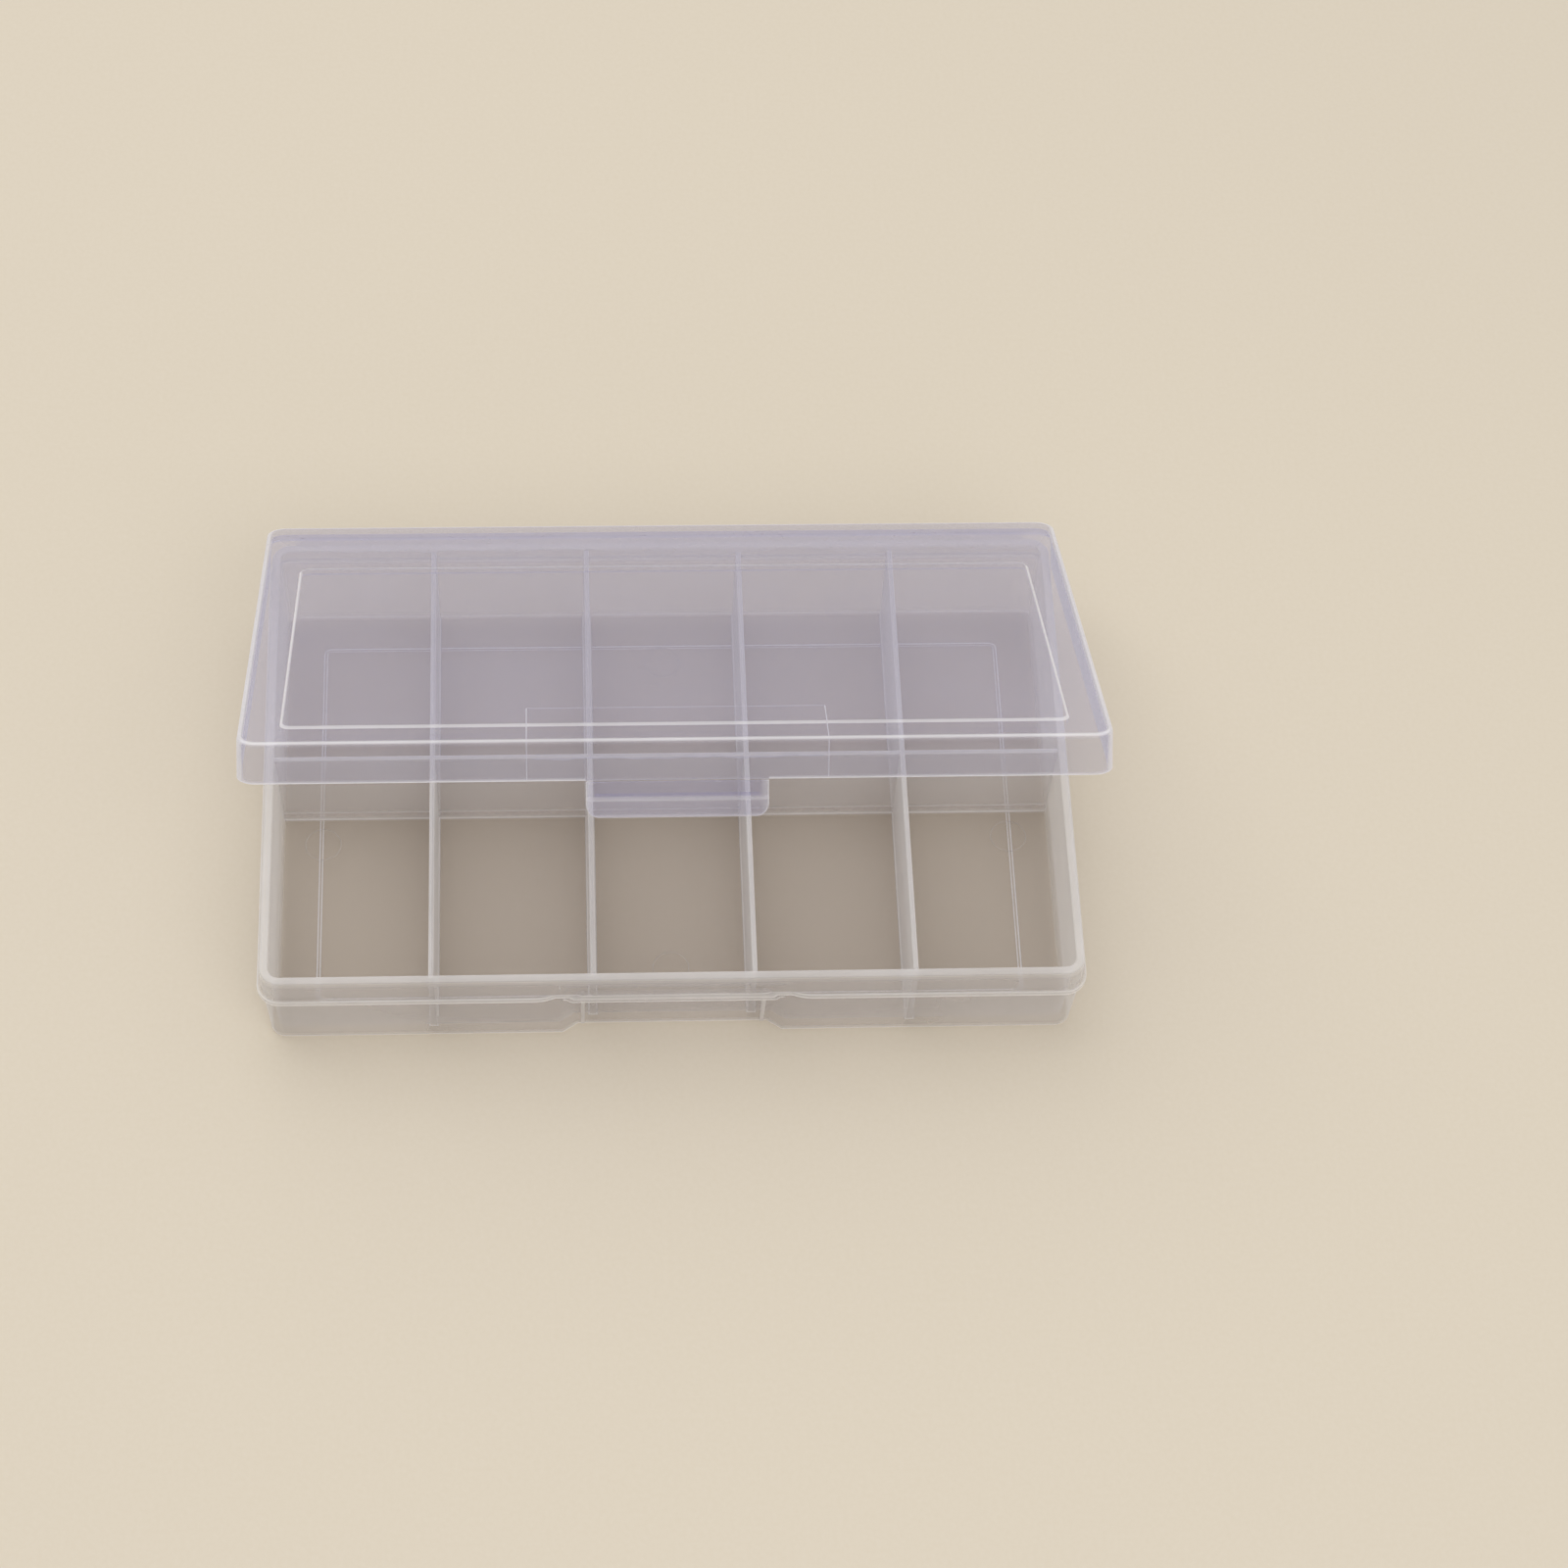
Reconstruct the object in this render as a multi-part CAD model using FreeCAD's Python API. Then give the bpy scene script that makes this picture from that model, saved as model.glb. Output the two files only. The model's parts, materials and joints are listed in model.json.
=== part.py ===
import FreeCAD, Part
import math
import os

os.makedirs("parts", exist_ok=True)

V = FreeCAD.Vector

# Flat compartment box in clear polypropylene, shown with its lid part open.
# X runs along the box, -Y is the latch side, +Z is up, all in millimetres.
# The origin lies on the table, under the middle of the tray.

# Tray shell. Half lengths run along X, half depths along Y.
flange_half_length = 90.0
flange_half_depth = 59.2
flange_corner = 5.0
flange_thick = 1.6
flange_bevel = 0.3
flange_top = 20.1
rim_ledge = 0.9
rim_corner = 4.3
rim_width = 1.85
rim_top = 26.3
rim_bevel = 0.25
skin_ledge = 1.1
skin_corner = 3.9
base_taper_length = 0.9
base_taper_depth = 1.8
base_corner = 3.4
base_bevel = 0.4
wall_base_thick = 1.6
cavity_corner = 2.4
cove = 0.6
floor_thick = 1.5

# Foot ring under the floor.
foot_height = 0.4
foot_half_length = 78.5
foot_half_depth = 47.5
foot_corner = 1.8
foot_width = 1.0

# Dividers inside the tray.
cross_count = 4
cross_pitch = 34.88
cross_top_thick = 1.1
cross_root_thick = 1.5
length_top_thick = 1.0
length_root_thick = 1.4
divider_drop = 0.5

# Catch on the front wall, with the thumb recess below it.
flange_gap_half = 25.5
flange_swoop = 5.0
recess_half = 20.7
recess_depth = 2.3
recess_side = 3.4
recess_skin = 1.5
bar_half = 23.2
bar_top_half = 19.3
bar_nose = 0.6
bar_under = 17.4
bar_lip = 0.7
bar_height = 4.0
rib_pitch_half = 19.7
rib_thick = 0.8
rib_foot = 0.2

# Film hinge along the back of the rim.
land_depth = 1.2
land_edge = 0.8
hinge_half = 84.0
hinge_setback = 0.45
hinge_gap = 0.15
film_clear = 0.05

# Lid, described as if shut, then turned open about the hinge.
lid_open_angle = 31.7
lid_overhang = 0.35
lid_corner = 4.1
lid_skin = 0.9
lid_ledge_gap = 0.25
lid_height = 9.1
lid_taper = 0.3
lid_bevel = 0.5
lid_top_thick = 1.2
skirt_rear_gap = 0.6
back_wall_thick = 0.9
panel_side_margin = 8.9
panel_front_margin = 7.3
panel_depth = 85.8
panel_rise = 0.5
panel_slope = 0.4
panel_corner = 1.3

# Latch, one flap under the lid's front skirt.
latch_half = 18.8
latch_thick = 0.9
latch_offset = 0.5
latch_top_gap = 0.25
latch_tab_height = 3.4
lip_height = 4.45
lip_reach = 1.05
lip_thick = 1.0
lip_ramp = 0.45
lip_corner = 2.6
hook_half = 17.0
hook_clear = 0.1
hook_under_gap = 0.3
hook_edge = 0.3
hook_height = 0.65

# Heights and half sizes that follow from the values above.
floor_top = foot_height + floor_thick
flange_under = flange_top - flange_thick
rim_half_length = flange_half_length - rim_ledge
rim_half_depth = flange_half_depth - rim_ledge
skin_half_length = flange_half_length - skin_ledge
skin_half_depth = flange_half_depth - skin_ledge
base_half_length = skin_half_length - base_taper_length
base_half_depth = skin_half_depth - base_taper_depth
cavity_top_length = rim_half_length - rim_width
cavity_top_depth = rim_half_depth - rim_width
cavity_base_length = base_half_length - wall_base_thick
cavity_base_depth = base_half_depth - wall_base_thick
divider_top = rim_top - divider_drop
above_rim = rim_top + 1.0


def rounded_rectangle(z, half_x, half_y, radius, middle_y=0.0):
    """Closed wire of four lines and four arcs at height z."""
    corners = [(1, 1), (-1, 1), (-1, -1), (1, -1)]
    edges = []
    ends = []
    for sx, sy in corners:
        cx = sx * (half_x - radius)
        cy = middle_y + sy * (half_y - radius)
        start = math.degrees(math.atan2(sy, sx)) - 45.0
        points = []
        for step in (0.0, 45.0, 90.0):
            a = math.radians(start + step)
            points.append(V(cx + radius * math.cos(a), cy + radius * math.sin(a), z))
        ends.append(points)
    for i, points in enumerate(ends):
        edges.append(Part.Arc(*points).toShape())
        edges.append(Part.LineSegment(points[2], ends[(i + 1) % 4][0]).toShape())
    return Part.Wire(edges)


def loft(*sections):
    """Solid with flat-ruled sides through rounded rectangles."""
    return Part.makeLoft([rounded_rectangle(*s) for s in sections], True, True)


def prism(points, direction):
    """Solid swept from a closed polygon along a vector."""
    wire = Part.makePolygon(points + [points[0]])
    return Part.Face(wire).extrude(direction)


def plan_prism(points, z_low, z_high):
    """Upright solid over a polygon given in X and Y."""
    return prism([V(x, y, z_low) for x, y in points], V(0, 0, z_high - z_low))


def side_prism(points, half_x, middle_x=0.0):
    """Solid along X over a polygon given in Y and Z."""
    return prism([V(middle_x - half_x, y, z) for y, z in points], V(2 * half_x, 0, 0))


def box(low, high):
    """Upright box between two corners."""
    size = [h - l for l, h in zip(low, high)]
    return Part.makeBox(size[0], size[1], size[2], V(*low))


def mitred(shape, half_x, half_y, side, z_low, z_high):
    """Part of a shell that belongs to one of its four sides, cut at 45 degrees at the corners."""
    reach = 20.0
    inner = half_y * 0.8
    x_out = half_x + reach
    y_out = half_y + reach
    x_in = x_out - inner
    y_in = y_out - inner
    shapes = {
        "front": [(-x_out, -y_out), (x_out, -y_out), (x_in, -y_in), (-x_in, -y_in)],
        "back": [(x_out, y_out), (-x_out, y_out), (-x_in, y_in), (x_in, y_in)],
        "left": [(-x_out, y_out), (-x_out, -y_out), (-x_in, -y_in), (-x_in, y_in)],
        "right": [(x_out, -y_out), (x_out, y_out), (x_in, y_in), (x_in, -y_in)],
    }
    return shape.common(plan_prism(shapes[side], z_low, z_high))


parts = {}

# Outer form of the tray: drafted skin, flange and upright rim.
skin = loft(
    (foot_height, base_half_length - base_bevel, base_half_depth - base_bevel, base_corner - base_bevel),
    (foot_height + base_bevel, base_half_length, base_half_depth, base_corner),
    (flange_under, skin_half_length, skin_half_depth, skin_corner),
)
flange = loft(
    (flange_under, flange_half_length - flange_bevel, flange_half_depth - flange_bevel, flange_corner),
    (flange_under + flange_bevel, flange_half_length, flange_half_depth, flange_corner),
    (flange_top - flange_bevel, flange_half_length, flange_half_depth, flange_corner),
    (flange_top, flange_half_length - flange_bevel, flange_half_depth - flange_bevel, flange_corner),
)
rim = loft(
    (flange_top, rim_half_length, rim_half_depth, rim_corner),
    (rim_top - rim_bevel, rim_half_length, rim_half_depth, rim_corner),
    (rim_top, rim_half_length - rim_bevel, rim_half_depth - rim_bevel, rim_corner),
)
cavity = loft(
    (floor_top, cavity_base_length - cove, cavity_base_depth - cove, cavity_corner),
    (floor_top + cove, cavity_base_length, cavity_base_depth, cavity_corner),
    (above_rim, cavity_top_length, cavity_top_depth, cavity_corner),
)

# The flange stops short of the catch and runs out into the wall in a curve on each side.
for sign in (-1, 1):
    x_in = sign * flange_gap_half
    x_out = sign * (flange_gap_half + flange_swoop)
    near = -skin_half_depth
    far = -flange_half_depth
    bow = V(x_in + sign * flange_swoop * 0.38, near + (far - near) * 0.7, flange_under)
    curve = Part.Arc(V(x_in, near, flange_under), bow, V(x_out, far, flange_under)).toShape()
    outside = far - flange_bevel
    outline = Part.Wire([
        curve,
        Part.LineSegment(V(x_out, far, flange_under), V(x_out, outside, flange_under)).toShape(),
        Part.LineSegment(V(x_out, outside, flange_under), V(0, outside, flange_under)).toShape(),
        Part.LineSegment(V(0, outside, flange_under), V(0, near, flange_under)).toShape(),
        Part.LineSegment(V(0, near, flange_under), V(x_in, near, flange_under)).toShape(),
    ])
    flange = flange.cut(Part.Face(outline).extrude(V(0, 0, flange_thick)))


def recess_outline(z, face_y, grow):
    """Plan of the thumb recess at one height, open towards the front."""
    half_in = recess_half + grow
    half_out = half_in + recess_side
    shoulder_y = face_y - recess_depth
    front_y = face_y - recess_depth - flange_half_depth * 0.1
    points = [(-half_in, face_y), (-half_out, shoulder_y), (-half_out, front_y),
              (half_out, front_y), (half_out, shoulder_y), (half_in, face_y)]
    return Part.makePolygon([V(x, y, z) for x, y in points + [points[0]]])


# The thumb recess follows the draft of the wall, and the wall keeps its thickness behind it.
recess_low = -base_half_depth + recess_depth
recess_high = -skin_half_depth + recess_depth
slope = (recess_high - recess_low) / (flange_under - foot_height)
recess_top_y = recess_low + slope * (bar_under - foot_height)
recess = Part.makeLoft([recess_outline(foot_height, recess_low, 0.0),
                        recess_outline(bar_under, recess_top_y, 0.0)], True, True)
bump_top = bar_under + recess_skin
bump_top_y = recess_low + slope * (bump_top - foot_height)
bump = Part.makeLoft([recess_outline(foot_height, recess_low + recess_skin, recess_skin / 2),
                      recess_outline(bump_top, bump_top_y + recess_skin, recess_skin / 2)], True, True)
cavity = cavity.cut(bump)
shell = skin.fuse([flange, rim]).cut(cavity).cut(recess).removeSplitter()

# Floor plate and the walls that stand round it.
whole_plan = [(-2 * flange_half_length, -2 * flange_half_depth), (2 * flange_half_length, -2 * flange_half_depth),
              (2 * flange_half_length, 2 * flange_half_depth), (-2 * flange_half_length, 2 * flange_half_depth)]
parts["tray_floor"] = shell.common(plan_prism(whole_plan, 0.0, floor_top))
walls = shell.common(plan_prism(whole_plan, floor_top, above_rim))
mitre = (cavity_top_length, cavity_top_depth)
front_wall = mitred(walls, *mitre, "front", floor_top, above_rim)
catch_edge = flange_gap_half
deep = 2 * flange_half_depth
parts["front_wall_left"] = front_wall.common(box((-deep * 2, -deep, 0), (-catch_edge, 0, above_rim)))
parts["front_wall_right"] = front_wall.common(box((catch_edge, -deep, 0), (deep * 2, 0, above_rim)))
parts["catch_wall"] = front_wall.common(box((-catch_edge, -deep, 0), (catch_edge, 0, above_rim)))
parts["back_wall"] = mitred(walls, *mitre, "back", floor_top, above_rim)
parts["left_wall"] = mitred(walls, *mitre, "left", floor_top, above_rim)
parts["right_wall"] = mitred(walls, *mitre, "right", floor_top, above_rim)

# Foot ring on the underside.
foot_outer = loft((0.0, foot_half_length, foot_half_depth, foot_corner),
                  (foot_height, foot_half_length, foot_half_depth, foot_corner))
foot_inner = loft((0.0, foot_half_length - foot_width, foot_half_depth - foot_width, foot_corner - foot_width / 2),
                  (foot_height, foot_half_length - foot_width, foot_half_depth - foot_width,
                   foot_corner - foot_width / 2))
parts["foot_ring"] = foot_outer.cut(foot_inner)

# Dividers across the box, thicker at the root, cut to the inside of the shell.
cross_xs = [(i - (cross_count - 1) / 2) * cross_pitch for i in range(cross_count)]
crosses = []
for i, x in enumerate(cross_xs):
    section = [V(x - cross_root_thick / 2, -deep, floor_top), V(x + cross_root_thick / 2, -deep, floor_top),
               V(x + cross_top_thick / 2, -deep, divider_top), V(x - cross_top_thick / 2, -deep, divider_top)]
    divider = prism(section, V(0, 2 * deep, 0)).common(cavity)
    crosses.append(divider)
    parts[f"cross_divider_{i + 1}"] = divider

# One divider along the box, in lengths between the cross dividers.
length_section = [(-length_root_thick / 2, floor_top), (length_root_thick / 2, floor_top),
                  (length_top_thick / 2, divider_top), (-length_top_thick / 2, divider_top)]
long_divider = side_prism(length_section, 2 * flange_half_length).common(cavity)
stops = [-flange_half_length] + cross_xs + [flange_half_length]
for i in range(cross_count + 1):
    piece = long_divider.cut(crosses)
    span = box((stops[i], -deep, 0), (stops[i + 1], deep, above_rim))
    parts[f"length_divider_{i + 1}"] = piece.common(span)

# Catch bar: a ramp above, a flat underside for the hook, ends that taper up.
wall_y = -skin_half_depth
rim_y = -rim_half_depth
nose_y = wall_y - bar_nose
bar_top = bar_under + bar_height
bar = side_prism([(wall_y, bar_under), (nose_y, bar_under), (nose_y, bar_under + bar_lip),
                  (rim_y, bar_top), (rim_y, flange_top), (wall_y, flange_top)], bar_half)
front_view = [(-bar_half, bar_under), (bar_half, bar_under), (bar_half, bar_under + bar_lip),
              (bar_top_half, bar_top), (-bar_top_half, bar_top), (-bar_half, bar_under + bar_lip)]
bar = bar.common(prism([V(x, -deep, z) for x, z in front_view], V(0, deep, 0)))
parts["catch_bar"] = bar

# Two gussets under the bar, running out at the foot of the recess.
rib_low = foot_height + base_bevel
for name, sign in (("catch_rib_left", -1), ("catch_rib_right", 1)):
    outline = [(recess_low + slope * (rib_low - foot_height), rib_low), (recess_top_y, bar_under),
               (wall_y, bar_under), (recess_low + slope * (rib_low - foot_height) - rib_foot, rib_low)]
    parts[name] = side_prism(outline, rib_thick / 2, sign * rib_pitch_half)

# Land behind the rim that carries the film hinge.
land_back = rim_half_depth + land_depth
parts["hinge_land"] = side_prism([(rim_half_depth, rim_top - rim_bevel), (rim_half_depth, rim_top - rim_bevel
                                   - land_edge - land_depth), (land_back, rim_top - rim_bevel - land_edge),
                                  (land_back, rim_top - rim_bevel)], hinge_half)

# Hinge line, just behind and just above the land.
hinge_y = land_back + hinge_setback
hinge_z = rim_top - rim_bevel + hinge_gap
film_radius = math.hypot(hinge_setback, hinge_gap) - film_clear
parts["film_hinge"] = Part.makeCylinder(film_radius, 2 * hinge_half, V(-hinge_half, hinge_y, hinge_z), V(1, 0, 0))

# Lid shell: a shallow drafted cap with a skirt on the front and both sides.
lid_low = flange_top + lid_ledge_gap
lid_high = lid_low + lid_height
lid_front = -flange_half_depth - lid_overhang
lid_back = land_back
lid_half_length = flange_half_length + lid_overhang
lid_half_depth = (lid_back - lid_front) / 2
lid_middle = (lid_back + lid_front) / 2
plate_under = lid_high - lid_top_thick
lid_outer = loft(
    (lid_low, lid_half_length, lid_half_depth, lid_corner, lid_middle),
    (lid_high - lid_bevel, lid_half_length - lid_taper, lid_half_depth - lid_taper, lid_corner, lid_middle),
    (lid_high, lid_half_length - lid_taper - lid_bevel, lid_half_depth - lid_taper - lid_bevel,
     lid_corner - lid_bevel, lid_middle),
)
inner_front = lid_front + lid_skin
inner_back = lid_back - lid_taper - back_wall_thick
inner_half = (inner_back - inner_front) / 2
inner_middle = (inner_back + inner_front) / 2
lid_inner = loft(
    (lid_low, lid_half_length - lid_skin, inner_half, lid_corner - lid_skin, inner_middle),
    (plate_under, lid_half_length - lid_skin - lid_taper, inner_half - lid_taper, lid_corner - lid_skin,
     inner_middle),
)

# The raised panel: a sloped step up above, and the same step as a hollow below.
panel_half = lid_half_length - panel_side_margin
panel_front = lid_front + panel_front_margin
panel_middle = panel_front + panel_depth / 2
panel_half_depth = panel_depth / 2
panel_top = lid_high + panel_rise
panel_under = panel_top - lid_top_thick
step_above = loft(
    (lid_high, panel_half, panel_half_depth, panel_corner, panel_middle),
    (panel_top, panel_half - panel_slope, panel_half_depth - panel_slope, panel_corner, panel_middle),
)
step_below = loft(
    (plate_under, panel_half, panel_half_depth, panel_corner, panel_middle),
    (panel_under, panel_half - panel_slope, panel_half_depth - panel_slope, panel_corner, panel_middle),
)
panel = loft(
    (panel_under, panel_half - panel_slope, panel_half_depth - panel_slope, panel_corner, panel_middle),
    (panel_top, panel_half - panel_slope, panel_half_depth - panel_slope, panel_corner, panel_middle),
)
lid_parts = {}
lid_parts["lid_panel"] = panel
plate = lid_outer.common(plan_prism(whole_plan, plate_under, lid_high))
lid_parts["lid_border"] = plate.fuse(step_above).cut(step_below).cut(panel).removeSplitter()

# Skirts: behind the rim's corners only the part above the hinge goes on.
skirts = lid_outer.cut(lid_inner).common(plan_prism(whole_plan, lid_low, plate_under))
back_under = hinge_z + hinge_gap
skirt_stop = rim_half_depth - rim_corner - skirt_rear_gap
skirts = skirts.cut(box((-deep * 2, skirt_stop, 0), (deep * 2, deep, back_under)))
lid_mitre = (lid_half_length, lid_half_depth)
lid_parts["lid_front_skirt"] = mitred(skirts, *lid_mitre, "front", 0, lid_high)
lid_parts["lid_left_skirt"] = mitred(skirts, *lid_mitre, "left", 0, lid_high)
lid_parts["lid_right_skirt"] = mitred(skirts, *lid_mitre, "right", 0, lid_high)
lid_parts["lid_back_wall"] = mitred(skirts, *lid_mitre, "back", 0, lid_high)

# Latch flap: tab, flared grip lip and hook, hanging from the front skirt.
latch_out = lid_front - latch_offset
latch_in = latch_out + latch_thick
tab_top = lid_low - latch_top_gap
tab_low = lid_low - latch_tab_height
lip_low = tab_low - lip_height
lip_out = latch_out - lip_reach
latch_parts = {}
latch_parts["latch_tab"] = box((-latch_half, latch_out, tab_low), (latch_half, latch_in, tab_top))
lip = side_prism([(latch_in, tab_low), (latch_out, tab_low), (lip_out, tab_low - lip_ramp), (lip_out, lip_low),
                  (lip_out + lip_thick, lip_low), (lip_out + lip_thick, tab_low - lip_ramp - lip_thick / 2),
                  (latch_in, tab_low - lip_thick / 2)], latch_half)
rounds = loft((lip_out - 1.0, latch_half, lip_height, lip_corner), (latch_in + 1.0, latch_half, lip_height, lip_corner))
rounds.rotate(V(0, 0, 0), V(1, 0, 0), -90)
rounds = rounds.translated(V(0, lip_out - rounds.BoundBox.YMin - 1.0, lip_low - rounds.BoundBox.ZMin))
latch_parts["latch_grip_lip"] = lip.common(rounds)
hook_top = bar_under - hook_under_gap
hook_in = nose_y - hook_clear
latch_parts["latch_hook"] = side_prism([(latch_in, hook_top), (hook_in, hook_top), (hook_in, hook_top - hook_edge),
                                        (latch_in, hook_top - hook_height)], hook_half)

# The lid and its latch stand open about the hinge line.
for group in (lid_parts, latch_parts):
    for name, shape in group.items():
        turned = shape.copy()
        turned.rotate(V(0, hinge_y, hinge_z), V(-1, 0, 0), lid_open_angle)
        parts[name] = turned

turn = math.radians(lid_open_angle)
pivot_y = (latch_out + latch_in) / 2 - hinge_y
pivot_z = lid_low - hinge_z
print("lid hinge", round(hinge_y, 3), round(hinge_z, 3))
print("latch pivot", round(hinge_y + pivot_y * math.cos(turn) + pivot_z * math.sin(turn), 3),
      round(hinge_z - pivot_y * math.sin(turn) + pivot_z * math.cos(turn), 3))

for name, shape in parts.items():
    solids = shape.Solids
    print(name, len(solids), round(shape.Volume, 1), shape.isValid())
    shape.exportStep(f"parts/{name}.step")
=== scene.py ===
import json
import math

import bpy
import bmesh
import numpy as np
from mathutils import Matrix, Vector


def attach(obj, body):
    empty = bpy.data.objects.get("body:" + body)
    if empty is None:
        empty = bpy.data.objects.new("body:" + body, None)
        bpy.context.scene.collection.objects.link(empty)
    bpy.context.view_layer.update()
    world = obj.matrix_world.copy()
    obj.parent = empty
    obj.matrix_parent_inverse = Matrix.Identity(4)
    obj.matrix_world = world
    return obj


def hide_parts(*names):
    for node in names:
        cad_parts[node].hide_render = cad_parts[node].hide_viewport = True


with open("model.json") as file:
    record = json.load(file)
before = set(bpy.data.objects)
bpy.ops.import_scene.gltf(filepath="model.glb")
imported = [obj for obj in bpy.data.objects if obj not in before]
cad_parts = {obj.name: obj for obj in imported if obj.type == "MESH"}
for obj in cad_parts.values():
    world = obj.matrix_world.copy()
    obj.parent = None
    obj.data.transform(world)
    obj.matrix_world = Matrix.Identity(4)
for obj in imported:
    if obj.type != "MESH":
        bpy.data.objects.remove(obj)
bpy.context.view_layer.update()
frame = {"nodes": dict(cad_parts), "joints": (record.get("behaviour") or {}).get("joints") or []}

# Tray: one moulding in natural polypropylene, 1.5 to 1.9 mm thick, drafted so
# that it leaves its mould. A flange for the lid, the thumb recess, the catch bar
# and the land of the hinge are all part of its outer skin.
mm = 0.001
base_low, floor_high, bar_low, bump_high = 0.4, 1.9, 17.4, 18.9
flange_low, flange_high, rim_high = 18.5, 20.1, 26.3
corner_steps = 9
catch_reach, middle_reach, fine_step = 31.0, 17.5, 0.45
front_stops = np.concatenate([np.arange(-catch_reach, -middle_reach - 0.4, fine_step),
                              np.linspace(-middle_reach, middle_reach, 15),
                              np.arange(middle_reach + 0.5, catch_reach + 0.1, fine_step)])
land_half, land_run, land_depth = 84.0, 0.8, 1.2
back_stops = np.array([land_half, land_half - 0.3, land_half - land_run, 0.0,
                       land_run - land_half, 0.3 - land_half, -land_half])


def plan_ring(z, half_x, half_y, radius, middle=0.0, front=front_stops, back=back_stops, side=()):
    """Points of one rounded rectangle at height z, in millimetres, anticlockwise from the front left."""
    points = [(-(half_x - radius), middle - half_y)]
    points += [(x, middle - half_y) for x in front]
    ends = [(1, -1, -90), (1, 1, 0), (-1, 1, 90), (-1, -1, 180)]
    fills = [[(half_x, y) for y in side], [(x, middle + half_y) for x in back],
             [(-half_x, y) for y in reversed(side)], []]
    for (sx, sy, start), fill in zip(ends, fills):
        for step in range(corner_steps + 1):
            a = math.radians(start + 90.0 * step / corner_steps)
            points.append((sx * (half_x - radius) + radius * math.cos(a),
                           middle + sy * (half_y - radius) + radius * math.sin(a)))
        points += fill
    return np.array([(x, y, z) for x, y in points[:-1]])


def finish_mesh(name, shape):
    """Object from a bmesh, with soft shading where faces meet at a low angle."""
    bmesh.ops.recalc_face_normals(shape, faces=shape.faces)
    mesh = bpy.data.meshes.new(name)
    shape.to_mesh(mesh)
    shape.free()
    mesh.shade_smooth()
    mesh.set_sharp_from_angle(angle=math.radians(40.0))
    piece = bpy.data.objects.new(name, mesh)
    bpy.context.collection.objects.link(piece)
    return piece


def stack_mesh(name, layers, open_after=None, loop=False, turn=None, local=lambda x, y, z, value: value):
    """Closed mesh through rings of equal length, each with its haze, which local may change at a point.
    With loop the last ring joins the first, and otherwise both are capped. The two rings on either side
    of open_after are capped and not joined, which parts outside from inside."""
    shape = bmesh.new()
    haze = shape.verts.layers.float.new("haze")
    rows = []
    for ring, value in layers:
        rows.append([shape.verts.new(Vector(point) * mm) for point in ring])
        for v, point in zip(rows[-1], ring):
            v[haze] = local(*point, value)
    pairs = list(zip(rows, rows[1:])) + ([(rows[-1], rows[0])] if loop else [])
    for k, (low, high) in enumerate(pairs):
        if k != open_after:
            for i in range(len(low)):
                j = (i + 1) % len(low)
                shape.faces.new((low[i], low[j], high[j], high[i]))
    if open_after is not None:
        shape.faces.new(rows[open_after])
        shape.faces.new(rows[open_after + 1])
    elif not loop:
        shape.faces.new(rows[0])
        shape.faces.new(rows[-1])
    bmesh.ops.remove_doubles(shape, verts=shape.verts, dist=1e-7)
    if turn is not None:
        shape.transform(turn)
    return finish_mesh(name, shape)


def drafted(z, foot_z, rise, foot, growth):
    """Half sizes and corner radius at height z of a wall that widens by growth over its rise."""
    t = (z - foot_z) / rise
    return [size + more * t for size, more in zip(foot, growth)]


def wall_out(z):
    """Outer face of the drafted wall at height z."""
    return drafted(z, 0.8, 17.7, (88.0, 56.3, 3.4), (0.9, 1.8, 0.5))


def wall_in(z):
    """Inner face of the wall at height z."""
    return drafted(z, 2.5, 24.8, (86.4, 54.7, 2.4), (0.85, 1.75, 0.0))


recess_half, recess_run, recess_depth, recess_wall = 20.7, 3.4, 2.3, 0.75
flange_gap, flange_run, gap_y = 25.5, 5.0, 58.1
bar_half, nose_run = 24.0, 0.9


def tray_ring(z, half_x, half_y, radius, recess=None, flange=False, nose=None, land=0.0):
    """One ring of the tray's skin, with the catch at the front and the hinge land at the back.
    A ring with recess has the thumb recess, widened by that much, and with flange it runs out towards
    the catch. The nose is the front and the half length of the catch bar, and land is how far the
    hinge land stands out."""
    ring = plan_ring(z, half_x, half_y, radius)
    x, y = ring[:, 0], ring[:, 1]
    front = (y < -half_y + 0.01) & (np.abs(x) < catch_reach + 0.2)
    away = np.abs(x[front])
    if recess is not None:
        y[front] += recess_depth * (1.0 - np.clip((away - recess_half - recess) / recess_run, 0.0, 1.0))
    if flange:
        run_out = 1.0 - (1.0 - np.clip((away - flange_gap) / flange_run, 0.0, 1.0)) ** 2
        y[front] = -gap_y - (half_y - gap_y) * run_out
    if nose is not None:
        nose_y, nose_half = nose
        share = np.clip((nose_half - away) / nose_run, 0.0, 1.0)
        y[front] = np.minimum(y[front], y[front] * (1 - share) + nose_y * share)
    back = (y > half_y - 0.01) & (np.abs(x) < land_half + 0.1)
    y[back] += land * np.clip((land_half - np.abs(x[back])) / land_run, 0.0, 1.0)
    return ring


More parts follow.
